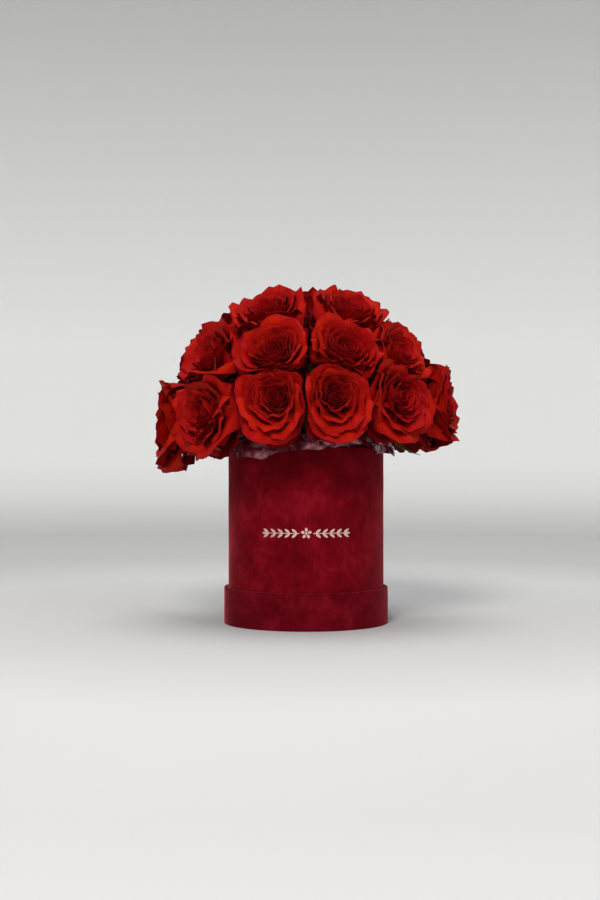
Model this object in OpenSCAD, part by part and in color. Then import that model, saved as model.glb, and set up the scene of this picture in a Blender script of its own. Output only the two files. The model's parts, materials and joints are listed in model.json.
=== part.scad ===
// Round flower box: a velvet hat box that stands in its own upturned lid, with
// a film-wrapped foam insert and a dome of rose heads pushed into the foam.
// Lengths are in millimetres. The origin is the middle of the foot's underside,
// +Z is up, and the box's front, with the foil ornament, faces -Y.

/* [Box] */
// Outside diameter of the box, over its velvet
box_d = 150; // [148:0.5:151]
// Height of the box's rim above the surface that the foot stands on
rim_h = 170; // [166:1:174]
// Thickness of the board that the box and the lid are made from
board_t = 2.2; // [1.8:0.1:2.4]
// Thickness of the velvet
velvet_t = 0.8; // [0.6:0.1:0.9]
// Thickness of the paper lining
lining_t = 0.4; // [0.3:0.1:0.5]
// How far the box's velvet is turned in below the rim
box_turn_in = 12; // [8:1:20]

/* [Foot, the upturned lid] */
// Outside diameter of the foot, over its velvet
lid_d = 158.5; // [158.5:0.5:162]
// Height of the foot
lid_h = 35; // [25:1:45]

/* [Foil ornament] */
// Length of the whole sprig, measured flat
sprig_l = 82; // [70:1:90]
// Height of the sprig's middle line
sprig_h = 90.5; // [80:0.5:110]
// Leaf pairs on each side of the blossom
leaf_pairs = 5; // [3:1:6]
// How far the foil stands out
foil_t = 0.2; // [0.2:0.05:0.3]

/* [Insert] */
// Height of the hub, the point that all the stems are aimed at
hub_h = 193; // [192:0.5:195]
// Radius of the foam's dome above the rim
dome_r = 62; // [60:1:63]
// Height of the dome's centre
dome_h = 190; // [189:0.5:191]
// Thickness of the film around the foam
film_t = 0.4; // [0.3:0.1:0.5]
// Radius of the film's frill over the rim
frill_r = 84; // [82:0.5:85]

/* [Roses] */
// Diameter of a bloom that its neighbours press on
bloom_d = 72; // [66:1:73]
// Distance from the hub to the face of a typical bloom
face_r = 130; // [128:1:134]
// Depth of a bloom, from its face to its sepals
bloom_l = 42; // [40:1:43]
// How far the widest part of a bloom is behind its face
rim_drop = 8; // [6:1:10]
// Petal rings that show on a bloom's face
petal_rings = 4; // [3:1:6]
// Stem diameter
stem_d = 5.2; // [4.6:0.1:5.4]
// Length of a sepal
sepal_l = 20; // [14:1:21]

/* [Hidden] */
$fn = 96;

// Gap of a glue line, and the gap between bodies that slide apart
glue = 0.1;
slip = 0.3;
// Gap between the box's velvet and the turned-in rim of the foot
lid_play = 0.8;
// Gap between neighbouring blooms, and around a stem in the foam
bloom_gap = 0.4;
stem_gap = 0.15;
// Longer than anything that is cut
far = 400;

// Box and foot, from the outside in and from the bottom up
box_r = box_d / 2;
wall_out = box_r - velvet_t - glue;
wall_in = wall_out - board_t;
lining_out = wall_in - glue;
turn_in_r = lining_out - velvet_t + glue;
film_out = turn_in_r - slip;
foam_r = film_out - film_t - slip;
lid_r = lid_d / 2;
lid_wall_out = lid_r - velvet_t - glue;
lid_lip_r = box_r + lid_play;
lid_wall_in = lid_lip_r + velvet_t;
panel_z = velvet_t + glue;
box_z = panel_z + board_t + slip;
box_floor_top = box_z + board_t;
lining_z = box_floor_top + glue;
film_z = lining_z + lining_t + slip;
foam_z = film_z + film_t + slip;
foam_shoulder = rim_h - 4;
// The film stays upright to just under the rim, then rolls out over it
frill_bend_r = (frill_r - film_out) / 2;
frill_z = rim_h - 1.4;

// Blooms and stems, measured along a rose's own axis back from its face
calyx_back = bloom_l + slip;
hip_r = 4.6;
hip_back = calyx_back + hip_r;
sepal_t = 0.8;
sepal_w = 6.5;
sepal_lean = 12;
sepal_count = 5;
// How far a sepal runs into the hip, and how high on the hip it sits
sepal_root = 2;
sepal_rise = 1;
bowl_steps = 8;
base_r = 7;
ring_step = 4;

// Roses as [turn from the front towards +X, lift above level, how much further
// out the face stands than face_r, how much wider than bloom_d the bloom is]
bottom_row = [
    [-87, 2, 10, 0], [-51, 4, 0, 0], [-14, 10, 0, 0], [13, 11, 0, 0], [45, 11, 1, 2],
    [79, 9, 8, 4], [118, 7, 4, 7], [157, 9, 2, 6], [196, 6, 3, 7], [235, 8, 6, 6]];
middle_row = [
    [-57, 30, 1, 0], [-16, 31, 0, 2], [21, 32, 0, 2], [54, 31, 2, 0], [96, 32, 5, 4],
    [137, 29, 2, 5], [179, 32, 3, 4], [220, 30, 4, 5], [262, 31, 8, 4]];
top_row = [[-32, 56, 0, 2], [38, 57, 0, 2], [110, 57, -1, 6], [182, 55, 1, 7], [255, 57, 7, 6]];
crown = [[0, 90, -12, 0]];
rows = [bottom_row, middle_row, top_row, crown];
// Distance from the hub at which the stems of each row end
stem_ends = [18, 13, 10.5, 6];
// A lower row's share of the angle between it and the row above
lower_share = 0.54;
// Each rose as [row's number, turn, lift, distance of the face from the hub, diameter]
roses = [for (r = [0 : len(rows) - 1]) for (rose = rows[r])
    [r, rose[0], rose[1], face_r + rose[2], bloom_d + rose[3]]];
rose_count = len(roses);

function two_digits(i) = str(i < 9 ? "0" : "", i + 1);
function bloom_name(i) = str("rose_", two_digits(i), "_bloom");
function stem_name(i) = str("rose_", two_digits(i), "_stem");

// ---- geometry helpers ----

function axis_of(rose) = [
    cos(rose[2]) * sin(rose[1]), -cos(rose[2]) * cos(rose[1]), sin(rose[2])];
function angle_between(a, b) = acos(min(1, a * b));
// The share of the angle between two roses that belongs to the first
function share(mine, other) =
    mine[0] < other[0] ? lower_share : mine[0] > other[0] ? 1 - lower_share : 0.5;
// Half-angle beyond which no part of a bloom reaches, seen from the hub
function bloom_reach(rose) = atan(rose[4] / 2 / (rose[3] - rim_drop)) + 3;

module ring(r_in, r_out, z_low, z_high) {
    rotate_extrude()
        translate([r_in, z_low])
            square([r_out - r_in, z_high - z_low]);
}

module disc(r, z_low, z_high) {
    translate([0, 0, z_low])
        cylinder(r = r, h = z_high - z_low);
}

// A sleeve with a rounded rim that is turned in at the top
module turned_sleeve(r_in, r_out, r_lip, z_low, z_high, z_lip) {
    edge_r = velvet_t;
    rotate_extrude() {
        translate([r_in, z_low])
            square([r_out - r_in, z_high - edge_r - z_low]);
        translate([r_lip, z_lip])
            square([velvet_t - glue, z_high - edge_r - z_lip]);
        translate([r_lip + edge_r, z_high - velvet_t])
            square([r_out - r_lip - 2 * edge_r, velvet_t]);
        for (side = [[r_lip + edge_r, -edge_r], [r_out - edge_r, 0]])
            intersection() {
                translate([side[0], z_high - edge_r])
                    circle(r = edge_r);
                translate([side[0] + side[1], z_high - edge_r])
                    square(edge_r);
            }
    }
}

// Places its children with +Z along a rose's axis and z = 0 at the hub
module along(rose) {
    translate([0, 0, hub_h])
        rotate([0, 90 - rose[2], rose[1] - 90])
            children();
}

// The half-space beyond the plane through the hub that parts two roses
module beyond(mine, other) {
    a = axis_of(mine);
    angle = angle_between(a, axis_of(other));
    part = share(mine, other) * angle;
    across = (axis_of(other) - a * cos(angle)) / sin(angle);
    n = across * cos(part) - a * sin(part);
    translate([0, 0, hub_h])
        rotate([0, acos(n[2]), atan2(n[1], n[0])])
            translate([-far / 2, -far / 2, -bloom_gap / 2])
                cube(far);
}

// Cuts its children back to the wedge of space that one rose may fill. Every
// side of the wedge passes through the hub, so a rose slides straight out.
module in_own_space(i) {
    mine = roses[i];
    difference() {
        children();
        for (j = [0 : rose_count - 1])
            if (j != i)
                let (other = roses[j],
                     apart = angle_between(axis_of(mine), axis_of(other)) * share(mine, other))
                    if (apart < bloom_reach(mine))
                        beyond(mine, other);
    }
}

// ---- foot ----

module lid_velvet_base() {
    color("#6e0b18")
        disc(lid_r, 0, velvet_t);
}

module lid_velvet_side() {
    color("#6e0b18")
        turned_sleeve(lid_wall_out + glue, lid_r, lid_lip_r, panel_z, lid_h, panel_z + board_t + glue);
}

// Two boards: the round panel, and the wall strip glued round its edge
module lid_board() {
    color("#9a9185") {
        disc(lid_wall_in - glue, panel_z, panel_z + board_t);
        ring(lid_wall_in, lid_wall_out, panel_z, lid_h - velvet_t - glue);
    }
}

// ---- box ----

module box_floor() {
    color("#8d8478")
        disc(wall_in - glue, box_z, box_floor_top);
}

module box_wall() {
    color("#9a9185")
        ring(wall_in, wall_out, box_z, rim_h - velvet_t - glue);
}

module box_velvet() {
    color("#6a0713")
        turned_sleeve(wall_out + glue, box_r, turn_in_r, box_z, rim_h, rim_h - box_turn_in);
}

module box_lining() {
    lining_top = rim_h - box_turn_in - glue;
    color("#e8e0d8") {
        disc(lining_out, lining_z, lining_z + lining_t);
        ring(lining_out - lining_t, lining_out, lining_z + lining_t, lining_top);
    }
}

// A pointed leaf from the origin along +X, where two equal arcs cross
module leaf(length, width) {
    arc_r = (length * length / 4 + width * width / 4) / width;
    intersection_for (side = [-1, 1])
        translate([length / 2, side * (arc_r - width / 2)])
            circle(r = arc_r);
}

// A horizontal sprig with paired leaves on both sides of a five-petal blossom
module sprig_outline() {
    blossom_r = 5.2;
    leaf_l = 6.4;
    leaf_w = 2.3;
    stalk_w = 0.7;
    leaf_tilt = 38;
    leaf_start = 8.5;
    leaf_step = (sprig_l / 2 - leaf_start - leaf_l) / (leaf_pairs - 1);
    circle(r = 1.1);
    for (k = [0 : 4])
        rotate(90 + 72 * k)
            translate([1.5, 0])
                leaf(blossom_r - 1.5, 2.6);
    for (mirrored = [0, 1])
        mirror([mirrored, 0]) {
            translate([blossom_r + 1.2, -stalk_w / 2])
                square([sprig_l / 2 - leaf_l - blossom_r - 1.2, stalk_w]);
            translate([sprig_l / 2 - leaf_l, 0])
                leaf(leaf_l, leaf_w);
            for (k = [0 : leaf_pairs - 1], side = [-1, 1])
                translate([leaf_start + k * leaf_step, side * 0.1])
                    rotate(side * leaf_tilt)
                        leaf(leaf_l, leaf_w);
        }
}

module foil_ornament() {
    color("#d9b9b4")
        intersection() {
            ring(box_r + glue / 2, box_r + glue / 2 + foil_t, 0, rim_h);
            translate([0, 0, sprig_h])
                rotate([90, 0, 0])
                    linear_extrude(height = box_r + 5)
                        sprig_outline();
        }
}

// ---- insert ----

module film_liner() {
    color("#5c1426")
        rotate_extrude() {
            translate([0, film_z])
                square([film_out, film_t]);
            translate([film_out - film_t, film_z])
                square([film_t, frill_z - film_z]);
            translate([film_out - film_t + frill_bend_r, frill_z])
                intersection() {
                    difference() {
                        circle(r = frill_bend_r);
                        circle(r = frill_bend_r - film_t);
                    }
                    translate([-frill_bend_r, 0])
                        square([2 * frill_bend_r, frill_bend_r]);
                }
        }
}

module foam_block() {
    color("#3f5a35")
        difference() {
            union() {
                disc(foam_r, foam_z, foam_shoulder);
                translate([0, 0, dome_h])
                    sphere(r = dome_r);
            }
            for (rose = roses)
                along(rose)
                    translate([0, 0, stem_ends[rose[0]] - slip])
                        cylinder(d = stem_d + 2 * stem_gap, h = dome_r + 10, $fn = 32);
        }
}

// ---- roses ----

// Half the section of a bloom, from its base round the bowl and over the rings
// of petal tips to the middle, with its face at z = 0
function bloom_section(r) = let (
        ring_w = (r - 3) / petal_rings,
        depth = bloom_l - rim_drop)
    concat(
        [[0, -bloom_l]],
        [for (i = [0 : bowl_steps]) let (a = 90 * i / bowl_steps)
            [base_r + (r - base_r) * sin(a), -bloom_l + depth * (1 - cos(a))]],
        [for (k = [0 : petal_rings - 1], edge = [0, 1])
            edge == 0 ? [r - 2 - k * ring_w, -1] : [r - (k + 1) * ring_w, -ring_step]],
        [[0, -2]]);

module rose_bloom(i) {
    color("#8f0d10")
        in_own_space(i)
            along(roses[i])
                translate([0, 0, roses[i][3]])
                    rotate_extrude()
                        polygon(bloom_section(roses[i][4] / 2));
}

// Five leaf-shaped sepals that lean back from the bloom's base
module sepals(face) {
    for (k = [0 : sepal_count - 1])
        translate([0, 0, face - hip_back])
            rotate([0, sepal_lean, k * 360 / sepal_count])
                translate([hip_r - sepal_root, 0, sepal_rise])
                    linear_extrude(height = sepal_t)
                        leaf(sepal_l, sepal_w);
}

module rose_stem(i) {
    rose = roses[i];
    face = rose[3];
    stem_end = stem_ends[rose[0]];
    color("#4d6b2c")
        in_own_space(i)
            along(rose) {
                translate([0, 0, stem_end])
                    cylinder(d = stem_d, h = face - hip_back - stem_end, $fn = 32);
                translate([0, 0, face - hip_back])
                    sphere(r = hip_r, $fn = 48);
                sepals(face);
            }
}

lid_velvet_base();
lid_velvet_side();
lid_board();
box_floor();
box_wall();
box_velvet();
box_lining();
foil_ornament();
film_liner();
foam_block();
for (i = [0 : rose_count - 1]) rose_bloom(i);
for (i = [0 : rose_count - 1]) rose_stem(i);
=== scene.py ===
"""Looks for the round flower box: velvet hat box standing in its lid, film, foam and 25 roses."""
import json
import math

import bpy
import numpy as np
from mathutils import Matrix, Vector


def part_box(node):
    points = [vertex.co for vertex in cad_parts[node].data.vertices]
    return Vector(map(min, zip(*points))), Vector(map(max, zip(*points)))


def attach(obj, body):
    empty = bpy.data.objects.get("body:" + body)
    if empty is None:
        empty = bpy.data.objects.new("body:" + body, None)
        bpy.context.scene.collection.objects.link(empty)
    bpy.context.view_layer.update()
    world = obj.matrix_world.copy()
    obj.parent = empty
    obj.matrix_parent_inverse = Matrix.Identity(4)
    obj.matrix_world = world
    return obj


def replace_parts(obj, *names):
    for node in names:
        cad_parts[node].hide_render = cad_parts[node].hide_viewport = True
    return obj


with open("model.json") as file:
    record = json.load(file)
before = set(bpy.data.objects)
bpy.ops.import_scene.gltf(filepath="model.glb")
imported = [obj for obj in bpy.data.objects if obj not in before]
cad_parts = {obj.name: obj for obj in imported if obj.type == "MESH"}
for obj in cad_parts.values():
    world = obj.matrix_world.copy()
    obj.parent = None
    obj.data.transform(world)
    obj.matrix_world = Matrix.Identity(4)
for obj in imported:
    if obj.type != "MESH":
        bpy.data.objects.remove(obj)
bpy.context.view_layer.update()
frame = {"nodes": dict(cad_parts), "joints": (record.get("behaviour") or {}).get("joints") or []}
SLIP = 0.0003                 # the gap that the model leaves between bodies that slide apart


# ---- numbers and noise ----

def smooth(x, low, high):
    """Smooth step from 0 at low to 1 at high."""
    x = np.clip((x - low) / (high - low), 0.0, 1.0)
    return x * x * (3 - 2 * x)


def waves(points, size, seed, count=7):
    """Soft noise from -1 to 1 with features about size across, as a sum of waves."""
    rng = np.random.default_rng(seed)
    total = 0.0
    for _ in range(count):
        direction = rng.normal(size=3)
        direction /= np.linalg.norm(direction)
        total = total + np.sin(points @ direction * (2 * math.pi / size) * rng.uniform(0.6, 1.5)
                               + rng.uniform(0, 2 * math.pi))
    return total / count * 1.6


def creases(points, size, seed, count=5, width=0.05):
    """Noise from 0 to 1 with straight folds, as crumpled film has, and how near a fold's line is."""
    rng = np.random.default_rng(seed)
    total, lines = 0.0, 0.0
    for _ in range(count):
        direction = rng.normal(size=3)
        direction /= np.linalg.norm(direction)
        turn = points @ direction / size * rng.uniform(0.6, 1.4) + rng.uniform()
        fold = np.abs((turn % 1.0) - 0.5) * 2
        total = total + fold
        lines = np.maximum(lines, np.exp(-(np.minimum(fold, 1 - fold) / width) ** 2))
    return total / count, lines


# ---- meshes ----

def mesh_piece(name, verts, groups, mat, sharp=55):
    """An object from points and groups of faces; edges sharper than sharp degrees stay crisp."""
    mesh = bpy.data.meshes.new(name)
    faces = [face for group in groups for face in np.asarray(group).tolist()]
    mesh.from_pydata(np.asarray(verts).tolist(), [], faces)
    mesh.validate()
    mesh.shade_smooth()
    mesh.set_sharp_from_angle(angle=math.radians(sharp))
    mesh.materials.append(mat)
    piece = bpy.data.objects.new(name, mesh)
    bpy.context.scene.collection.objects.link(piece)
    return piece


def point_values(piece, name, values):
    """Stores one number per point, for the piece's material to read."""
    attribute = piece.data.attributes.new(name, "FLOAT", "POINT")
    attribute.data.foreach_set("value", np.asarray(values, np.float32).ravel())


def grid_quads(rows, cols, closed=False):
    """Quads of a grid of points numbered row by row; closed joins the last column to the first."""
    index = np.arange(rows * cols).reshape(rows, cols)
    if closed:
        index = np.concatenate([index, index[:, :1]], 1)
    return np.stack([index[:-1, :-1], index[:-1, 1:], index[1:, 1:], index[1:, :-1]], -1).reshape(-1, 4)


def grid_normals(p):
    """Unit normals of a grid of points."""
    n = np.cross(np.gradient(p, axis=1), np.gradient(p, axis=0))
    return n / np.maximum(np.linalg.norm(n, axis=-1, keepdims=True), 1e-12)


def shell(p, thick, rim=0.45):
    """A closed thin shell round a grid of points, thinner at its free edges."""
    a, b = p.shape[:2]
    share = np.ones((a, b))
    share[-1], share[:, 0], share[:, -1] = rim, rim, rim
    half = (thick / 2 * share)[..., None] * grid_normals(p)
    verts = np.concatenate([(p + half).reshape(-1, 3), (p - half).reshape(-1, 3)])
    index = np.arange(a * b).reshape(a, b)
    front = grid_quads(a, b)
    back = front[:, ::-1] + a * b
    loop = np.concatenate([index[0, :-1], index[:-1, -1], index[-1, :0:-1], index[:0:-1, 0]])
    after = np.roll(loop, -1)
    side = np.stack([after, loop, loop + a * b, after + a * b], -1)
    return verts, np.concatenate([front, back, side])


def turned_solid(profile, steps, displace=None):
    """A closed solid of revolution from a closed (radius, height) outline; displace moves its points."""
    outline = np.asarray(profile)
    turn = np.linspace(0, 2 * math.pi, steps, endpoint=False)
    r, z = outline[:, 0][:, None], outline[:, 1][:, None]
    p = np.stack([r * np.sin(turn), -r * np.cos(turn), z + 0 * turn], -1)
    if displace is not None:
        p = displace(p, turn)
    rows = len(outline)
    p = np.concatenate([p, p[:1]])
    quads = grid_quads(rows + 1, steps, closed=True)
    return p[:rows].reshape(-1, 3), quads % (rows * steps)


# ---- materials ----

class Look:
    """A node material with short calls for the nodes that this scene uses."""

    def __init__(self, name, **values):
        self.mat = bpy.data.materials.new(name)
        self.mat.use_nodes = True
        self.nt = self.mat.node_tree
        self.bsdf = self.nt.nodes["Principled BSDF"]
        for socket, value in values.items():
            self.bsdf.inputs[socket.replace("_", " ")].default_value = value
        coords = self.nt.nodes.new("ShaderNodeTexCoord")
        self.place = coords.outputs["Object"]

    def link(self, a, b):
        self.nt.links.new(a, b)

    def stretched(self, scale):
        node = self.nt.nodes.new("ShaderNodeMapping")
        node.inputs["Scale"].default_value = scale
        self.link(self.place, node.inputs["Vector"])
        return node.outputs["Vector"]

    def noise(self, scale, detail=3.0, rough=0.5, vector=None, warp=0.0):
        node = self.nt.nodes.new("ShaderNodeTexNoise")
        node.inputs["Scale"].default_value = scale
        node.inputs["Detail"].default_value = detail
        node.inputs["Roughness"].default_value = rough
        node.inputs["Distortion"].default_value = warp
        self.link(vector or self.place, node.inputs["Vector"])
        return node.outputs["Fac"]

    def cells(self, scale):
        node = self.nt.nodes.new("ShaderNodeTexVoronoi")
        node.inputs["Scale"].default_value = scale
        self.link(self.place, node.inputs["Vector"])
        return node.outputs["Distance"]

    def value(self, name):
        node = self.nt.nodes.new("ShaderNodeAttribute")
        node.attribute_name = name
        return node.outputs["Fac"]

    def ramp(self, fac, *stops):
        node = self.nt.nodes.new("ShaderNodeValToRGB")
        ramp = node.color_ramp
        for k, (at, colour) in enumerate(stops):
            stop = ramp.elements[k] if k < 2 else ramp.elements.new(at)
            stop.position = at
            stop.color = (*colour, 1)
        self.link(fac, node.inputs["Fac"])
        return node.outputs["Color"]

    def mix(self, fac, a, b, how="MIX"):
        node = self.nt.nodes.new("ShaderNodeMix")
        node.data_type, node.blend_type = "RGBA", how
        for socket, given in (("Factor", fac), ("A", a), ("B", b)):
            kind = "RGBA" if socket != "Factor" else "VALUE"
            target = [s for s in node.inputs if s.name == socket and s.type == kind][0]
            if isinstance(given, bpy.types.NodeSocket):
                self.link(given, target)
            else:
                target.default_value = given if socket == "Factor" else (*given, 1)
        return [s for s in node.outputs if s.type == "RGBA"][0]

    def maths(self, how, a, b):
        node = self.nt.nodes.new("ShaderNodeMath")
        node.operation = how
        for socket, given in zip(node.inputs, (a, b)):
            if isinstance(given, bpy.types.NodeSocket):
                self.link(given, socket)
            else:
                socket.default_value = given
        return node.outputs[0]

    def bump(self, height, strength, distance):
        node = self.nt.nodes.new("ShaderNodeBump")
        node.inputs["Strength"].default_value = strength
        node.inputs["Distance"].default_value = distance
        self.link(height, node.inputs["Height"])
        self.link(node.outputs["Normal"], self.bsdf.inputs["Normal"])

    def colour(self, socket):
        self.link(socket, self.bsdf.inputs["Base Color"])

    def roughness(self, fac, low, high):
        node = self.nt.nodes.new("ShaderNodeMapRange")
        node.inputs["To Min"].default_value = low
        node.inputs["To Max"].default_value = high
        self.link(fac, node.inputs["Value"])
        self.link(node.outputs["Result"], self.bsdf.inputs["Roughness"])


def velvet_look(name, painted_shade_factor=1.0):
    """Crushed velvet: cloudy nap in two depths of red over short fibres, and a soft edge sheen. Its
    second argument darkens all its reds, as painted shade for a part that gets less light.
    """
    look = Look(name, Roughness=0.95, Sheen_Weight=0.35, Sheen_Roughness=0.35,
                Sheen_Tint=(1.0, 0.16, 0.2, 1), Specular_IOR_Level=0.03)
    cloud = look.noise(34, 4, 0.6, warp=0.8)
    swirl = look.noise(110, 3, 0.55, vector=look.stretched((1, 1, 0.7)), warp=1.2)
    fibre = look.noise(2600, 2, 0.6)
    nap = look.maths("ADD", look.maths("MULTIPLY", cloud, 0.62), look.maths("MULTIPLY", swirl, 0.38))
    base = look.ramp(nap, (0.36, (0.095 * painted_shade_factor, 0.0008, 0.0036)), (0.5, (0.140 * painted_shade_factor, 0.0014, 0.0060)),
                     (0.64, (0.200 * painted_shade_factor, 0.0040, 0.0105)))
    look.colour(look.mix(look.ramp(fibre, (0.3, (0.72,) * 3), (0.7, (1.0,) * 3)),
                         (0.0, 0.0, 0.0), base))
    height = look.maths("ADD", look.maths("MULTIPLY", nap, 0.8), look.maths("MULTIPLY", fibre, 0.35))
    look.bump(height, 0.45, 0.0006)
    return look.mat


def petal_look():
    """Rose petals: wine red, darkening to near black as painted shade deep in the cup, orange red as
    painted light where they open, crimson along the free edge.
    """
    look = Look("petal", Roughness=0.6, Sheen_Weight=0.04, Sheen_Roughness=0.4,
                Sheen_Tint=(1.0, 0.15, 0.15, 1), Specular_IOR_Level=0.09,
                Specular_Tint=(1.0, 0.2, 0.2, 1))
    painted_shading_and_tone = look.value("painted_shading_and_tone")
    # painted shading: this ramp runs from painted shade, near black, through wine red to painted light,
    # orange red
    body = look.ramp(painted_shading_and_tone, (0.0, (0.020, 0.0002, 0.0012)), (0.35, (0.120, 0.0005, 0.0022)),
                     (0.7, (0.310, 0.0026, 0.0005)), (1.0, (0.520, 0.0150, 0.0002)))
    veins = look.noise(1.0, 4, 0.65, vector=petal_map(look, (46, 5, 1)))
    folds = look.noise(1.0, 3, 0.6, vector=petal_map(look, (7, 2.2, 1)), warp=0.6)
    body = look.mix(look.ramp(veins, (0.3, (0.70,) * 3), (0.72, (1.0,) * 3)), (0.06, 0.0, 0.002), body)
    body = look.mix(look.ramp(folds, (0.34, (0.62,) * 3), (0.6, (1.0,) * 3)), (0.10, 0.0002, 0.005),
                    body)
    look.colour(look.mix(look.value("edge"), body, (0.165, 0.0008, 0.007)))
    look.bump(look.maths("ADD", look.maths("MULTIPLY", veins, 0.35), folds), 0.35, 0.0008)
    return look.mat


def petal_map(look, scale):
    """Coordinates that run along and across each petal, stretched so that noise makes veins."""
    node = look.nt.nodes.new("ShaderNodeUVMap")
    node.uv_map = "petal"
    stretch = look.nt.nodes.new("ShaderNodeMapping")
    stretch.inputs["Scale"].default_value = scale
    look.link(node.outputs["UV"], stretch.inputs["Vector"])
    return stretch.outputs["Vector"]


def green_look():
    """Stems, sepals and leaves: blotched green, reddish along the sepals' edges."""
    look = Look("green", Roughness=0.55, Specular_IOR_Level=0.3)
    blotch = look.noise(160, 3)
    streak = look.noise(500, 2, vector=look.stretched((1, 1, 0.2)))
    base = look.ramp(blotch, (0.3, (0.030, 0.070, 0.016)), (0.7, (0.10, 0.16, 0.045)))
    look.colour(look.mix(look.value("edge"), base, (0.20, 0.055, 0.035)))
    look.bump(streak, 0.3, 0.0003)
    return look.mat


def film_look():
    """Wine-red wrapping film, crumpled, with bright painted glints, pale pink, on its folds."""
    look = Look("film", Specular_IOR_Level=0.7, Specular_Tint=(1.0, 0.6, 0.66, 1), Coat_Weight=0.35,
                Coat_Roughness=0.12)
    # painted shade and light: random patches, darker and lighter, stand in for shade where folds overlap
    # and for glints, over the film's wine red
    patch = look.noise(60, 4, 0.6, warp=0.8)
    base = look.ramp(patch, (0.38, (0.055, 0.002, 0.006)), (0.52, (0.13, 0.006, 0.014)),
                     (0.68, (0.22, 0.020, 0.032)))
    cup = look.value("cup")
    # painted shade and light: dark and light vertical streaks on the cup's wall, along its pleats
    pleat = look.noise(75, 2, 0.5, vector=look.stretched((1, 1, 0.08)), warp=0.3)
    painted_pleat_shading = look.ramp(pleat, (0.36, (0.070, 0.003, 0.008)), (0.64, (0.165, 0.010, 0.022)))
    # painted glints: the fold value mixes pale pink into the colour along the fold lines
    look.colour(look.mix(look.value("fold"), look.mix(cup, base, painted_pleat_shading), (0.62, 0.22, 0.25)))
    look.roughness(look.noise(220, 3), 0.14, 0.32)
    run = look.noise(70, 3, 0.6, vector=look.stretched((1, 1, 0.22)), warp=0.5)
    crumple = look.noise(190, 4, 0.6, warp=1.2)
    free = look.maths("SUBTRACT", 0.6, look.maths("MULTIPLY", cup, 0.5))
    rough = look.maths("MULTIPLY", crumple, free)
    look.bump(look.maths("ADD", run, rough), 0.6, 0.0016)
    return look.mat


def foam_look():
    """Wet floral foam: dark green, darkened further as painted shade so that the gaps between the roses
    look black, and finely pored.
    """
    look = Look("foam", Roughness=0.95, Specular_IOR_Level=0.1)
    grain = look.noise(900, 4, 0.7)
    # painted shade: the foam's green is darker than its own, so the gaps between the roses read as
    # shadow
    look.colour(look.ramp(look.noise(70, 4), (0.3, (0.006, 0.018, 0.006)), (0.7, (0.014, 0.036, 0.011))))
    pores = look.maths("ADD", look.cells(700), grain)
    look.bump(pores, 0.8, 0.0010)
    return look.mat


def board_look():
    """Grey-brown board, flecked, in thin layers."""
    look = Look("board", Roughness=0.9, Specular_IOR_Level=0.15)
    fleck = look.noise(1400, 3, 0.7)
    layers = look.noise(300, 2, vector=look.stretched((0.25, 0.25, 6)))
    base = look.ramp(layers, (0.3, (0.27, 0.235, 0.20)), (0.7, (0.39, 0.35, 0.30)))
    flecks = look.ramp(fleck, (0.35, (0.6,) * 3), (0.6, (1.0,) * 3))
    look.colour(look.mix(flecks, (0.12, 0.10, 0.08), base))
    look.bump(fleck, 0.3, 0.0002)
    return look.mat


def lining_look():
    """Pale paper with a fine tooth."""
    look = Look("lining", Roughness=0.7, Specular_IOR_Level=0.3)
    tooth = look.noise(1100, 3, 0.65)
    look.colour(look.ramp(look.noise(25, 3), (0.3, (0.66, 0.60, 0.55)), (0.7, (0.74, 0.69, 0.64))))
    look.bump(tooth, 0.25, 0.0002)
    return look.mat


def foil_look():
    """Hot-stamped foil: rose silver that shows the nap of the velvet under it."""
    look = Look("foil", Metallic=1.0)
    nap = look.noise(900, 3, 0.6)
    look.colour(look.ramp(nap, (0.25, (0.52, 0.30, 0.28)), (0.7, (0.84, 0.60, 0.55))))
    look.roughness(look.noise(1500, 2), 0.28, 0.5)
    look.bump(nap, 0.5, 0.0004)
    return look.mat


def stage_look():
    """Pale paper with painted light and shade: darker in the middle, where the lamps are near, lighter
    far out where their light falls off, and painted darker high on the wall.
    """
    look = Look("stage", Roughness=0.9, Specular_IOR_Level=0.1)
    split = look.nt.nodes.new("ShaderNodeSeparateXYZ")
    look.link(look.place, split.inputs["Vector"])
    x, y, z = (split.outputs[axis] for axis in "XYZ")
    squares = look.maths("ADD", look.maths("MULTIPLY", x, x), look.maths("MULTIPLY", y, y))
    reach = look.maths("SQRT", squares, 0)
    grain = look.maths("MULTIPLY", look.noise(1.5, 2), 0.02)
    # painted light and shade on the floor: darker near the lamps, lighter far out, where their light
    # falls off
    floor = look.ramp(look.maths("ADD", look.maths("MULTIPLY", reach, 0.2), grain),
                      (0.05, (0.47,) * 3), (0.11, (0.53,) * 3), (0.17, (0.465,) * 3),
                      (0.28, (0.47,) * 3), (0.66, (0.90, 0.90, 0.89)))
    # painted shade: the wall gets darker the higher it goes
    painted_wall_shade = look.ramp(look.maths("MULTIPLY", z, 0.4), (0.18, (1.0,) * 3), (0.80, (0.60,) * 3))
    look.colour(look.mix(1.0, floor, painted_wall_shade, "MULTIPLY"))
    return look.mat


# ---- camera, stage and light ----

SENSOR = 36.0                 # the sensor's long side, mm
LENS = 65.2                   # mm
FAR_CLIP = 50
CAMERA_AT = (-0.0058, -1.579, 0.186)
CAMERA_DOWN = 0.7             # degrees below level
STAGE_RADIUS = 5.0
STAGE_BEND = 2.4              # radius of the curve from floor to wall
STAGE_HEIGHT = 6.5
STAGE_STEPS = 96
AIM = (0, 0, 0.2)             # where every lamp points
SKY_COLOUR = (0.93, 0.96, 1.0, 1)
SKY_STRENGTH = 0.22
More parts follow.
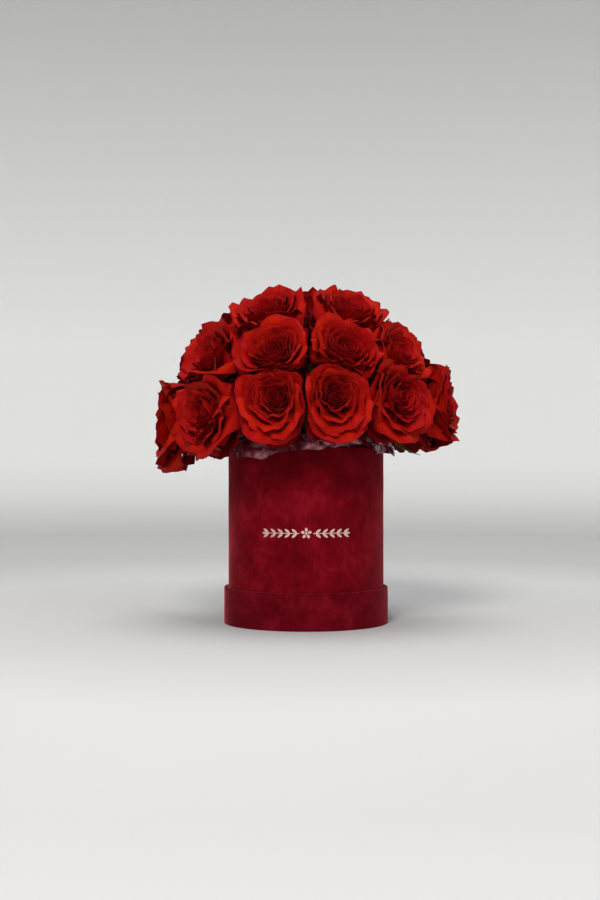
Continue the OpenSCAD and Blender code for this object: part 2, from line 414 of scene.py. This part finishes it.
# each lamp's name, place, diameter, watts and colour
LAMPS = (("key", (-0.4, -2.3, 1.9), 0.9, 66, (1.0, 0.98, 0.95)),
         ("fill", (1.9, -1.9, 1.4), 0.9, 13, (0.97, 0.98, 1.0)),
         ("overhead", (0, 0, 5.5), 4.0, 180, (1.0, 1.0, 1.0)))


def make_camera():
    """A long lens a little above the rim of the box, almost level."""
    camera = bpy.data.cameras.new("camera")
    camera.sensor_width = SENSOR
    camera.lens = LENS
    camera.clip_end = FAR_CLIP
    holder = bpy.data.objects.new("camera", camera)
    bpy.context.scene.collection.objects.link(holder)
    holder.location = CAMERA_AT
    holder.rotation_euler = (math.radians(90 - CAMERA_DOWN), 0, 0)
    bpy.context.scene.camera = holder


def make_stage():
    """A pale floor that curves up into a round wall, so that every side has the same plain ground."""
    line = [(0.002, 0.0)]
    for t in np.linspace(0, math.pi / 2, 20):
        line.append((STAGE_RADIUS - STAGE_BEND + STAGE_BEND * math.sin(t),
                     STAGE_BEND - STAGE_BEND * math.cos(t)))
    line.append((STAGE_RADIUS, STAGE_HEIGHT))
    around = np.linspace(0, 2 * math.pi, STAGE_STEPS, endpoint=False)
    p = np.array([[(r * math.cos(t), r * math.sin(t), z) for t in around] for r, z in line])
    quads = grid_quads(len(line), STAGE_STEPS, closed=True)
    floor = mesh_piece("stage", p.reshape(-1, 3), [quads], stage_look(), 80)


def area_light(name, place, size, power, colour):
    """A round lamp that the camera doesn't see."""
    lamp = bpy.data.lights.new(name, "AREA")
    lamp.shape = "DISK"
    lamp.size = size
    lamp.energy = power
    lamp.color = colour
    holder = bpy.data.objects.new(name, lamp)
    bpy.context.scene.collection.objects.link(holder)
    holder.location = place
    holder.rotation_euler = (Vector(AIM) - Vector(place)).to_track_quat("-Z", "Y").to_euler()
    holder.visible_camera = False


def make_light():
    """A bright front lamp, a weak one from the right, a wide soft one overhead and a dim sky."""
    world = bpy.data.worlds.new("world")
    bpy.context.scene.world = world
    world.use_nodes = True
    sky = world.node_tree.nodes["Background"]
    sky.inputs["Color"].default_value = SKY_COLOUR
    sky.inputs["Strength"].default_value = SKY_STRENGTH
    for lamp in LAMPS:
        area_light(*lamp)
    bpy.context.scene.view_settings.view_transform = "Standard"


# ---- velvet box and foot ----

CORE_GAP = 0.0001             # between a velvet sleeve and the board inside it
RIM_EDGE = 0.0011             # radius of the soft edge where velvet turns over a rim
VELVET_THICK = 0.0008         # at the turned-in part
BASE_EDGE = 0.0003            # radius of the underside's edge
TURN_IN = 0.012               # how far the box's velvet reaches down inside
LIP_STANDS_IN = 0.0007        # how far it stands in from the lining there
FOOT_GAP = 0.0008             # between the box and the foot's turned-in velvet
NAP_DEPTH = 0.00012
SEAM_RISE = 0.00035
SLEEVE_STEPS = 360
HOLE = 0.0004                 # radius of the pin hole that a turned disc has in its middle


def rounded_sleeve(r_in, r_out, r_lip, z_low, z_high, z_lip, step=0.0022):
    """Closed outline of a velvet sleeve turned in over its rim, with a soft round edge."""
    edge = RIM_EDGE
    fall = np.linspace(z_low, z_high - edge, max(2, int((z_high - z_low) / step)))
    outer = [(r_out, z) for z in fall]
    bend = np.linspace(0, math.pi / 2, 6)[1:]
    outer += [(r_out - edge + edge * math.cos(t), z_high - edge + edge * math.sin(t)) for t in bend]
    inner = [(r_lip + edge - edge * math.sin(t), z_high - edge + edge * math.cos(t)) for t in bend]
    inner = [(r_lip + edge, z_high)] + inner
    lip = [(r_lip, z) for z in np.linspace(z_high - edge, z_lip, 5)[1:]]
    under_z = z_high - VELVET_THICK
    back_r = r_lip + 0.75 * VELVET_THICK
    back = [(back_r, z_lip), (back_r, under_z), (r_in, under_z), (r_in, z_low)]
    return outer + inner + lip + back


def nap_waves(seam_turn, z_from, z_to):
    """Moves a sleeve's outside a little, as glued cloth lies, and raises its overlap seam."""
    def move(p, turn):
        r = np.hypot(p[..., 0], p[..., 1])
        sway = (waves(p, 0.035, 5) + 0.35 * waves(p, 0.012, 6)) * NAP_DEPTH
        off = (turn - seam_turn + math.pi) % (2 * math.pi) - math.pi
        seam = SEAM_RISE * (smooth(off, -0.004, 0.004) - smooth(off, 0.0, 0.16))
        inside = smooth(p[..., 2], z_from, z_from + 0.002) * (1 - smooth(p[..., 2], z_to - 0.002, z_to))
        outside = r > np.median(r) - 1e-5
        grow = 1 + np.where(outside, (sway + seam) * inside, 0) / r
        p[..., 0] *= grow
        p[..., 1] *= grow
        return p
    return move


def make_box_velvet():
    """The box's velvet: a sleeve round the board, turned in over the rim, with its seam at the back."""
    low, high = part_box("box_velvet")
    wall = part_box("box_wall")[1].x
    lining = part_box("box_lining")[1].x
    profile = rounded_sleeve(wall + CORE_GAP, high.x, lining - LIP_STANDS_IN,
                             low.z, high.z, high.z - TURN_IN)
    verts, faces = turned_solid(profile, SLEEVE_STEPS, nap_waves(math.pi, low.z, high.z))
    sleeve = mesh_piece("box_velvet_cover", verts, [faces], velvet_look("velvet"))
    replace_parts(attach(sleeve, "box"), "box_velvet")


def make_foot_velvet():
    """The upturned lid's velvet: a strip round its wall, turned in over the rim, and the underside."""
    # the foot has the box's velvet, darkened to 0.80 as painted shade, since less light reaches it
    mat = velvet_look("foot_velvet", 0.80)
    low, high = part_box("lid_velvet_side")
    base_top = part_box("lid_velvet_base")[1].z
    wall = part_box("lid_board")[1].x
    panel_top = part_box("box_floor")[0].z - SLIP
    box_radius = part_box("box_velvet")[1].x
    profile = rounded_sleeve(wall + CORE_GAP, high.x, box_radius + FOOT_GAP,
                             low.z, high.z, panel_top + CORE_GAP)
    verts, faces = turned_solid(profile, SLEEVE_STEPS, nap_waves(math.pi * 0.93, low.z, high.z))
    strip = mesh_piece("foot_velvet_wall", verts, [faces], mat)
    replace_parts(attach(strip, "stand"), "lid_velvet_side")

    flat = high.x - BASE_EDGE
    fine = [(HOLE + flat * k / 24, 0.0) for k in range(1, 24)]
    disc = [(HOLE, 0.0)] + fine
    disc += [(flat, 0.0), (high.x, BASE_EDGE), (high.x, base_top - BASE_EDGE), (flat, base_top),
             (HOLE, base_top)]
    verts, faces = turned_solid(disc, SLEEVE_STEPS // 2)
    base = mesh_piece("foot_velvet_base", verts, [faces], mat)
    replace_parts(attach(base, "stand"), "lid_velvet_base")


def dress_cad_nodes():
    """Boards, lining, foil and foam keep their shapes from the model and get their looks here."""
    looks = {"board": board_look(), "lining": lining_look(), "foil": foil_look(), "foam": foam_look()}
    for slot_name, nodes in (("board", ("lid_board", "box_floor", "box_wall")),
                             ("lining", ("box_lining",)), ("foil", ("foil_ornament",)),
                             ("foam", ("foam_block",))):
        for node in nodes:
            for material_slot in frame["nodes"][node].material_slots:
                material_slot.material = looks[slot_name]


# ---- film ----

FILM_THICK = 0.00012
FILM_FROM_FOAM = 0.0004
FILM_STEPS = 720
PLEAT_DEPTH = 0.00015
FRILL_START = 0.003           # how far under the rim the film starts to roll out
FRILL_OUT = (0.0025, 0.0140)  # how far out past the rim its edge ends
FRILL_DROP = (-0.0100, -0.0010)    # how far up from the rim its edge ends
FRILL_SHOULDER = (0.012, 0.023)    # how far it rises on its way out
CREASE_DEPTH = 0.0070
FINE_CREASE_DEPTH = 0.0044


def between(rows, t):
    """The row at share t of the way through a list of rows, straight between neighbours."""
    at = t * (len(rows) - 1)
    k = min(int(at), len(rows) - 2)
    return rows[k] + (rows[k + 1] - rows[k]) * (at - k)


def make_film(mat):
    """The film round the foam: pleated under it, up the box's wall, and crumpled out over the rim."""
    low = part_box("film_liner")[0]
    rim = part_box("box_velvet")[1]
    r_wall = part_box("foam_block")[1].x + FILM_FROM_FOAM
    turn = np.linspace(0, 2 * math.pi, FILM_STEPS, endpoint=False)
    ring = np.stack([np.sin(turn), -np.cos(turn), 0 * turn], -1)

    def corners(count, seed, low, high):
        """Values round the rim that run straight between count corners at uneven distances."""
        rng = np.random.default_rng(seed)
        at = (np.arange(count) + rng.uniform(-0.35, 0.35, count)) * 2 * math.pi / count
        return np.interp(turn, at, rng.uniform(low, high, count), period=2 * math.pi)

    def bump(middle, width):
        """A rise from 0 to 1 and back round a place on the rim, in degrees from the front."""
        off = (turn - math.radians(middle) + math.pi) % (2 * math.pi) - math.pi
        return np.exp(-(off / math.radians(width)) ** 2)

    rows = []
    for share in np.linspace(0.02, 1, 9):
        rows.append(np.stack([r_wall * share + 0 * turn, low.z + 0.0003 + 0 * turn], -1))
    start = rim.z - FRILL_START
    pleat = PLEAT_DEPTH * (corners(130, 50, -1, 1) + corners(47, 51, -1, 1))
    for z in np.linspace(low.z + 0.003, start, 30):
        depth = smooth(z, low.z + 0.005, low.z + 0.03) * (1 - smooth(z, start - 0.008, start))
        rows.append(np.stack([r_wall + pleat * depth, z + 0 * turn], -1))
    # the free part goes up past the rim, rolls out over it and ends in uneven flaps
    r_edge = rim.x + corners(27, 7, *FRILL_OUT)
    z_edge = rim.z + corners(23, 9, *FRILL_DROP) - 0.009 * bump(-29, 9) + 0.007 * bump(32, 13)
    shoulder = corners(17, 12, *FRILL_SHOULDER)
    folds = [corners(31, 30 + k, -1, 1) for k in range(4)]
    tucks = [corners(67, 40 + k, -1, 1) for k in range(6)]
    for t in np.linspace(0, 1, 25)[1:]:
        r = ((1 - t) ** 2 * (1 + 2 * t) * r_wall
             + 3 * (1 - t) * t ** 2 * (r_edge - 0.0015) + t ** 3 * r_edge)
        z = ((1 - t) ** 3 * start + 3 * (1 - t) ** 2 * t * (start + 0.018)
             + 3 * (1 - t) * t ** 2 * (start + shoulder) + t ** 3 * z_edge)
        free = smooth(t, 0.15, 0.8)
        out = 0.0022 * between(folds, t) + 0.0010 * between(tucks, t)
        up = 0.0018 * between(folds[::-1], t) + 0.0008 * between(tucks[::-1], t)
        rows.append(np.stack([r + out * free, z + up * free], -1))
    rows = np.array(rows)
    p = rows[..., :1] * ring[None] + np.array([0, 0, 1.0]) * rows[..., 1:]
    free = np.maximum(smooth(p[..., 2], rim.z + 0.001, rim.z + 0.004),
                      smooth(np.hypot(p[..., 0], p[..., 1]), rim.x + 0.001, rim.x + 0.004))
    wide, wide_lines = creases(p, 0.026, 21, width=0.05)
    fine, fine_lines = creases(p, 0.009, 22, width=0.12)
    bumps = (wide - 0.5) * CREASE_DEPTH + (fine - 0.5) * FINE_CREASE_DEPTH
    # painted glints: how strongly the film's colour turns pale pink along its fold lines
    lines = (0.60 * wide_lines * smooth(waves(p, 0.03, 24), -0.3, 0.6)
             + 0.22 * fine_lines * smooth(waves(p, 0.02, 23), 0.0, 0.7)) * free
    p = p + grid_normals(p) * (bumps * free)[..., None]
    a, b = p.shape[:2]
    normal = grid_normals(np.concatenate([p, p[:, :1]], 1))[:, :-1]
    half = normal * FILM_THICK / 2
    verts = np.concatenate([(p + half).reshape(-1, 3), (p - half).reshape(-1, 3)])
    front = grid_quads(a, b, closed=True)
    index = np.arange(a * b).reshape(a, b)
    faces = [front, front[:, ::-1] + a * b]
    for row, flip in ((index[0], 1), (index[-1], -1)):
        after = np.roll(row, -1)
        quad = np.stack([after, row, row + a * b, after + a * b], -1)
        faces.append(quad[:, ::-1] if flip < 0 else quad)
    film = mesh_piece("film_wrap", verts, faces, mat, 35)
    # the fold value carries the painted glints to the material
    point_values(film, "fold", np.concatenate([lines.ravel()] * 2))
    point_values(film, "cup", np.concatenate([(1 - free).ravel()] * 2))
    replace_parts(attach(film, "arrangement"), "film_liner")


# ---- roses ----

GOLDEN = math.radians(137.5)      # turn from one petal to the next
WIND_SHARE = 0.55                 # how far a petal's sides wind in and out between its neighbours
PETALS = 40                       # wound petals of each rose
ROSE_SIZE = 0.036                 # radius of the bloom that the petal sizes below are for
ROSE_DEPTH = 0.042                # its depth
PETAL_THICK = 0.0004
PETAL_LENGTH = (0.0335, 0.0480)   # of the innermost petal and the outermost
PETAL_HALF_WIDTH = (0.0080, 0.0300)
# shares of the way out from the middle of a rose, and the degrees that a petal there bends
TIP_CURL = ((0, 0.25, 0.5, 0.75, 1), (-4, 8, 20, 38, 66))
SIDE_ROLL = ((0, 0.3, 0.6, 1), (0, 18, 50, 80))
STEM_RADIUS = 0.0026
STEM_SIDES = 20
HIP_RADIUS = 0.0046               # of the swelling under the bloom
FILL = 1.15                       # how far the outer petals reach, as a share of the bloom's radius
FREE_ROOM = 1.0                   # how far they reach where no neighbour is in the way
REAR_ROOM = 0.9                   # the same on the far half of the dome
BELOW_ROOM = 0.93                 # how far they hang where the lowest roses meet the box
GUARDS = 7                        # wide-open petals under each rose, which close the gaps between roses
GUARD_ROOM = 1.06                 # how far the guards reach
GUARD_BELOW = 0.9                 # how far they hang under the lowest roses
# roses that differ: wider guards, a smaller head, hanging petals, a leaf, how open they are
WIDE_GUARDS = {"rose_02": 1.2}
SMALLER = {"rose_15": 0.9, "rose_19": 0.9, "rose_22": 0.85, "rose_24": 0.85}
DROOP = {"rose_01": 0.012, "rose_10": 0.009}
LEAVES = {"rose_02": -0.10, "rose_05": 0.13, "rose_08": 0.08}
OPEN = {"rose_03": 0.98, "rose_04": 0.98, "rose_05": 1.15, "rose_12": 1.0, "rose_13": 1.0}


def stem_hub(axes):
    """The point that all the stems are aimed at, from the inner ends of the CAD stems."""
    total, right = np.zeros((3, 3)), np.zeros(3)
    for name, axis in axes.items():
        points = node_points(name + "_stem")
        along = points @ axis
        end = points[along < along.min() + 1e-5].mean(0)
        flat = np.eye(3) - np.outer(axis, axis)
        total += flat
        right += flat @ end
    return np.linalg.solve(total, right)


def node_points(node):
    """The points of a node of the model."""
    mesh = frame["nodes"][node].data
    co = np.empty(len(mesh.vertices) * 3)
    mesh.vertices.foreach_get("co", co)
    return co.reshape(-1, 3)


def petal_grid(rng, i, size, depth, openness, guard=False):
    """One petal of a rose that opens along +Z, as points [along, across, 3], and its v and u."""
    layer = min(i / (PETALS - 1), 1.0)
    across, along = 15, 17
    k = size / ROSE_SIZE * FILL
    u = np.linspace(-1, 1, across)[None, :]
    v = np.linspace(0, 1, along)[:, None] ** 0.92
    length = np.interp(layer, (0, 1), PETAL_LENGTH) * k * rng.uniform(0.97, 1.03) * depth / ROSE_DEPTH
    half_width = np.interp(layer ** 0.72, (0, 1), PETAL_HALF_WIDTH) * k * rng.uniform(0.93, 1.07)
    curl = np.interp(layer, *TIP_CURL) * rng.uniform(0.75, 1.2)
    roll = np.interp(layer, *SIDE_ROLL) * rng.uniform(0.7, 1.2)
    if guard:
        curl, roll = rng.uniform(-10, 25), rng.uniform(10, 40)
    curl, roll = math.radians(curl) * openness, math.radians(roll) * openness
    lean = rng.uniform(-0.1, 0.1)

    # the outline: wide near the top, rounded corners, a small point in the middle
    width = half_width * (0.2 + 0.8 * np.sin(np.pi / 2 * np.clip(v / 0.68, 0, 1)) ** 1.1)
    width = width * (1 - 0.1 * smooth(v, 0.8, 1))
    tall = 1 - 0.22 * np.abs(u) ** 2.4 + 0.034 * np.exp(-(u / 0.12) ** 2) * layer * (1 - guard)
    ragged = rng.uniform(0, 2 * np.pi, 3)
    for turns, start in zip((7, 12, 19), ragged):
        tall = tall + 0.012 * np.sin(turns * u + start)
    s = v * tall

    # the side margins roll outward
    beta = roll * smooth(np.abs(u + lean), 0.42, 1.0) * smooth(v, 0.45, 0.95)
    du = 2 / (across - 1)

    def across_sum(f):
        f = f * np.ones_like(u)
        steps = np.cumsum(0.5 * (f[:, 1:] + f[:, :-1]) * du, 1)
        total = np.concatenate([np.zeros((along, 1)), steps], 1)
        return total - total[:, across // 2:across // 2 + 1]

    flat_x = across_sum(np.cos(beta)) * width
    out_x = np.abs(across_sum(np.sin(beta))) * width
    tip = curl * smooth(v, 0.68, 1.04) * (0.85 + 0.35 * np.abs(u) ** 1.5)
    step = np.diff(np.concatenate([np.zeros_like(s[:1]), s]), axis=0) * length

    def profile(lay):
        lay = np.clip(lay, 0, 1.1)
        base = np.radians(8 + (46 + 8 * openness) * lay ** 0.8)
        body = np.radians(-7 + (28 * openness + 41 * guard) * lay ** 1.3)
        psi = base + (body - base) * smooth(s, 0.02, 0.5) + tip
        r = (0.0015 + 0.0035 * lay) * k + np.cumsum(step * np.sin(psi), 0)
        return r, np.cumsum(step * np.cos(psi), 0), psi

    r, _, _ = profile(np.full_like(s, layer))
    turn = np.clip(flat_x / np.maximum(r, 0.0028 * k), -2.7, 2.7)
    r, z, psi = profile((i + WIND_SHARE * turn / GOLDEN) / (PETALS - 1))

    # slow waves along the free edge
    wave = np.sin(2 * np.pi * (rng.uniform(0.5, 1.1) * u + rng.uniform())) * 0.0014 \
        + np.sin(2 * np.pi * (rng.uniform(1.3, 2.2) * u + rng.uniform())) * 0.0009
    out = out_x + wave * k * smooth(v, 0.4, 1.0) * smooth(layer, 0.1, 0.5)
    r = np.maximum(r + out * np.cos(psi), 0.0006)
    z = z - out * np.sin(psi)
    theta = i * GOLDEN + rng.uniform(-0.15, 0.15) + turn
    return np.stack([r * np.cos(theta), r * np.sin(theta), z], -1), v + 0 * u, u + 0 * v


class Dome:
    """Where the roses are, and the walls between the spaces that they press each other into."""

    LOWER_SHARE = 0.54            # a lower rose's share of the angle to one in a row above it
    ROW_STEP = math.radians(12)   # roses nearer in height than this are in one row
    NEAR = math.radians(62)       # roses further apart than this don't press each other
    CORE = 0.008                  # radius of a rose's middle, which fitting leaves as it is

    def __init__(self):
        self.axes = {j["child"]: np.array(j["axis"]) / np.linalg.norm(j["axis"])
                     for j in frame["joints"] if j["name"].endswith("_pull")}
        self.names = sorted(self.axes)
        self.hub = stem_hub(self.axes)

    def share(self, mine, other):
        """How much of the angle between two roses is the first one's: a lower row gets a little more."""
        lift = math.asin(self.axes[other][2]) - math.asin(self.axes[mine][2])
        if abs(lift) < self.ROW_STEP:
            return 0.5
        return self.LOWER_SHARE if lift > 0 else 1 - self.LOWER_SHARE

    def walls(self, name):
        """(outward normal, pair's seed, pair's sign) of each plane through the hub beside a rose."""
        a = self.axes[name]
        found = []
        for other in self.names:
            angle = math.acos(np.clip(a @ self.axes[other], -1, 1))
            if other == name or angle > self.NEAR:
                continue
            part = angle * self.share(name, other)
            across = (self.axes[other] - a * math.cos(angle)) / math.sin(angle)
            pair = sorted((name, other))
            seed = self.names.index(pair[0]) * 100 + self.names.index(pair[1])
            sign = 1 if pair[0] == name else -1
            found.append((across * math.cos(part) - a * math.sin(part), seed, sign))
        return found

    def fit(self, name, turned, p, out, full, free, below, power):
        """Draws a rose's outer petals in, or lets them out, to fill the room between its neighbours."""
        axis, reach = self.axes[name], np.hypot(p[..., 0], p[..., 1])
        ways = p[..., :1] * turned[:, 0] + p[..., 1:2] * turned[:, 1]
        ways = ways / np.maximum(reach, 1e-9)[..., None]
        free = free - (free - below) * smooth(-ways[..., 2], 0.1, 0.6) * (axis[2] < 0.3)
        room = (1 / free) ** power
        for normal, _, _ in self.walls(name):
            facing = np.maximum(ways @ normal, 1e-6)
            room = room + (facing / (-(normal @ axis) * out)) ** power
        room = room ** (-1 / power)
        drawn = self.CORE + (reach - self.CORE) * (room - self.CORE) / (full - self.CORE)
        share = np.where(reach > self.CORE, drawn / np.maximum(reach, 1e-9), 1.0)
        fitted = p.copy()
        fitted[..., 0] *= share
        fitted[..., 1] *= share
        return fitted

    def press(self, name, p, margin=0.0022, gap=0.0004, sway=0.032):
        """Squeezes points back from the walls beside a rose; order across a wall is kept."""
        rel = p - self.hub
        for _ in range(3):
            for normal, seed, sign in self.walls(name):
                dist = np.linalg.norm(rel, axis=-1)
                ways = rel / dist[..., None]
                d = rel @ normal - sign * sway * dist * waves(ways, 0.35, seed, 4)
                over = np.maximum(d + margin, 0)
                kept = (margin - gap) * (1 - np.exp(-over / (margin - gap)))
                rel = rel + normal * (kept - over)[..., None]
        return rel + self.hub


def local_axes(axis, spin):
    """Columns x, y, z with z along a rose's axis, turned by spin about it."""
    side = np.cross(axis, (0, 0, 1.0)) if abs(axis[2]) < 0.99 else np.array([1.0, 0, 0])
    side /= np.linalg.norm(side)
    up = np.cross(side, axis)
    c, s = math.cos(spin), math.sin(spin)
    return np.stack([c * side + s * up, c * up - s * side, axis], -1)


def make_bloom(dome, name, mat):
    """A rose's wound petals and the guards under them, fitted and pressed between the neighbours."""
    number = int(name[-2:])
    rng = np.random.default_rng(100 + number)
    axis = dome.axes[name]
    cad = node_points(name + "_bloom") - dome.hub
    along = cad @ axis
    cad_size = np.linalg.norm(cad - np.outer(along, axis), axis=1).max()
    base = along.min()
    size = cad_size * SMALLER.get(name, 1)
    depth = (along.max() - base) * SMALLER.get(name, 1)
    turned = local_axes(axis, rng.uniform(0, 2 * math.pi))
    openness = OPEN.get(name, rng.uniform(0.92, 1.12))
    free_room = FREE_ROOM if axis[1] < 0 else REAR_ROOM
    droop = DROOP.get(name, 0.003 * smooth(-axis[2], -0.35, -0.12))
    verts, faces, painted_shading_and_tones, edges, uvs, count = [], [], [], [], [], 0
    for i in range(PETALS + GUARDS):
        guard = i >= PETALS
        p, v, u = petal_grid(rng, i, size, depth, 1.0 if guard else openness, guard)
        layer = min(i / (PETALS - 1), 1.0)
        if guard:
            room = GUARD_ROOM * WIDE_GUARDS.get(name, 1) * cad_size
            p = dome.fit(name, turned, p, base + 0.45 * depth, 1.3 * size, room, GUARD_BELOW * size, 8)
        else:
            p = dome.fit(name, turned, p, base + 0.7 * depth, 0.85 * size,
                         free_room * size, BELOW_ROOM * size, 5)
        world = p @ turned.T + dome.hub + axis * base
        # outer petals on the lower side of the lowest roses hang a little
        rel = world - dome.hub
        beside = rel - (rel @ axis)[..., None] * axis
        low = smooth(-beside[..., 2], 0.004, size)
        world[..., 2] -= droop * low * layer ** 2 * v ** 2
        world = dome.press(name, world)
        a, f = shell(world, PETAL_THICK)
        verts.append(a)
        faces.append(f + count)
        count += len(a)
        own = rng.uniform(-0.12, 0.12)
        # painted shade and light: darker towards each petal's base and on the inner petals, lighter
        # towards its open end; own is each petal's own random tone
        painted_shading_and_tone = 0.04 + 0.87 * smooth(v, 0.32, 1.0) + own - 0.15 * (1 - layer)
        # the guards are darkened to 0.55 as painted shade under the roses
        painted_shading_and_tone = np.clip(painted_shading_and_tone * (0.55 if guard else 1), 0, 1)
        margin = smooth(np.maximum(np.abs(u), v), 0.90, 1.0) * smooth(v, 0.35, 0.6)
        painted_shading_and_tones += [painted_shading_and_tone.ravel()] * 2
        edges += [(margin * 0.6).ravel()] * 2
        uvs += [np.stack([u.ravel() + 3 * i, v.ravel()], -1)] * 2
    piece = mesh_piece(name + "_petals", np.concatenate(verts), faces, mat)
    point_values(piece, "painted_shading_and_tone", np.concatenate(painted_shading_and_tones))
    point_values(piece, "edge", np.concatenate(edges))
    corner_uvs(piece, np.concatenate(uvs))
    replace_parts(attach(piece, name), name + "_bloom")


def corner_uvs(piece, per_point):
    """Gives every face corner the coordinates of its point, as the map named petal."""
    layer = piece.data.uv_layers.new(name="petal")
    corners = np.empty(len(piece.data.loops), np.int32)
    piece.data.loops.foreach_get("vertex_index", corners)
    layer.data.foreach_set("uv", per_point[corners].astype(np.float32).ravel())


def make_stem(dome, name, mat):
    """A rose's stem, hip and five bent sepals, and a leaf where LEAVES has one."""
    number = int(name[-2:])
    rng = np.random.default_rng(500 + number)
    axis = dome.axes[name]
    stem = (node_points(name + "_stem") - dome.hub) @ axis
    calyx = ((node_points(name + "_bloom") - dome.hub) @ axis).min() - 0.0003
    turned = local_axes(axis, rng.uniform(0, 2 * math.pi))
    neck = calyx - 0.011
    rise = np.linspace(stem.min(), neck, 22)
    line = [(STEM_RADIUS * (1 - 0.03 * math.sin(40 * z / 0.07) ** 2), z) for z in rise]
    for t in np.linspace(0.15, math.pi / 2, 8):
        line.append((STEM_RADIUS + (HIP_RADIUS - STEM_RADIUS) * math.sin(t) ** 1.3,
                     neck + 0.0095 * t / math.pi * 2))
    line += [(HIP_RADIUS * 0.8, calyx - 0.0006), (0.0003, calyx - 0.0003)]
    line = [(0.0003, stem.min())] + line
    around = np.linspace(0, 2 * math.pi, STEM_SIDES, endpoint=False)
    p = np.array([[(r * math.cos(t), r * math.sin(t), z) for t in around] for r, z in line])
    count = len(line) * STEM_SIDES
    verts, faces = [p.reshape(-1, 3)], [grid_quads(len(line), STEM_SIDES, closed=True)]
    edges = [np.zeros(count)]
    for row in (0, len(line) - 1):
        cap = np.arange(STEM_SIDES) + row * STEM_SIDES
        verts.append(np.array([[0, 0, line[row][1]]]))
        after = np.roll(cap, -1)
        first, second = (cap, after) if row else (after, cap)
        faces.append(np.stack([first, second, np.full(STEM_SIDES, count)], -1))
        edges.append(np.zeros(1))
        count += 1
    for k in range(5):
        q, edge = sepal_grid(rng, k, calyx)
        a, f = shell(q, 0.0006, 0.5)
        verts.append(a)
        faces.append(f + count)
        edges += [edge.ravel()] * 2
        count += len(a)
    world = np.concatenate(verts) @ turned.T + dome.hub
    world = dome.press(name, world, margin=0.004)
    if name in LEAVES:
        q = leaf_grid(math.atan2(axis[0], -axis[1]) + LEAVES[name])
        a, f = shell(q, 0.0005, 0.5)
        world = np.concatenate([world, a])
        faces.append(f + count)
        edges += [np.zeros(len(a))]
    piece = mesh_piece(name + "_stem_and_sepals", world, faces, mat)
    point_values(piece, "edge", np.concatenate(edges))
    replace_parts(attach(piece, name), name + "_stem")


# the curve that a leaf follows, outward and up from the box's rim
LEAF_PATH = ((0.013, 0.026), (0.019, 0.008), (0.033, -0.002), (0.057, -0.007))
LEAF_HALF_WIDTH = 0.0042
SEPAL_LENGTH = (0.019, 0.025)     # the shortest and the longest
SEPAL_HALF_WIDTH = 0.0034


def leaf_grid(heading):
    """A narrow leaf that hangs from under a bloom of the lowest row and points outward."""
    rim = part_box("box_velvet")[1]
    path = np.array(LEAF_PATH) + (rim.x, rim.z)
    t = np.linspace(0, 1, 16)[:, None]
    line = ((1 - t) ** 3 * path[0] + 3 * (1 - t) ** 2 * t * path[1]
            + 3 * (1 - t) * t ** 2 * path[2] + t ** 3 * path[3])
    u = np.linspace(-1, 1, 7)[None, :]
    width = LEAF_HALF_WIDTH * np.sin(np.pi * t ** 0.8) ** 0.8 + 0.0003
    side = u * width * (1 + 0.12 * np.sin(t * 40))
    r, z = line[:, :1], line[:, 1:]
    cup = 0.3 * width * u ** 2
    return np.stack([r * math.sin(heading) + side * math.cos(heading),
                     -r * math.cos(heading) + side * math.sin(heading), z + cup + 0 * side], -1)


def sepal_grid(rng, k, calyx):
    """A long pointed sepal that bends back, with small lobes along its sides."""
    along, across = 16, 7
    v = np.linspace(0, 1, along)[:, None]
    u = np.linspace(-1, 1, across)[None, :]
    length = rng.uniform(*SEPAL_LENGTH)
    width = SEPAL_HALF_WIDTH * np.clip(1 - v, 0, 1) ** 0.75 * (0.75 + 0.5 * np.sin(np.pi * v)) + 0.0003
    width = width * (1 + 0.35 * np.sin(v * 19 + rng.uniform(0, 6)) * smooth(v, 0.2, 0.4))
    bend = rng.uniform(0.2, 1.2)
    psi = math.radians(78) + bend * v
    ds = length / (along - 1)
    r = HIP_RADIUS * 0.75 + np.cumsum(np.sin(psi) * ds, 0)
    z = calyx - 0.0012 + np.cumsum(np.cos(psi) * ds, 0)
    x = u * width
    cup = (u ** 2) * width * 0.35
    theta = k * 2 * math.pi / 5 + rng.uniform(-0.15, 0.15)
    side = rng.uniform(-0.006, 0.006) * v ** 2
    px = r * math.cos(theta) - (x + side) * math.sin(theta)
    py = r * math.sin(theta) + (x + side) * math.cos(theta)
    grid = np.stack([px, py, z + cup + 0 * x], -1)
    return grid, smooth(np.abs(u) + 0 * v, 0.6, 1.0) * 0.5


def make_roses():
    dome = Dome()
    petal, green = petal_look(), green_look()
    for name in dome.names:
        make_bloom(dome, name, petal)
        make_stem(dome, name, green)


make_camera()
make_stage()
make_light()
make_box_velvet()
make_foot_velvet()
dress_cad_nodes()
make_film(film_look())
make_roses()
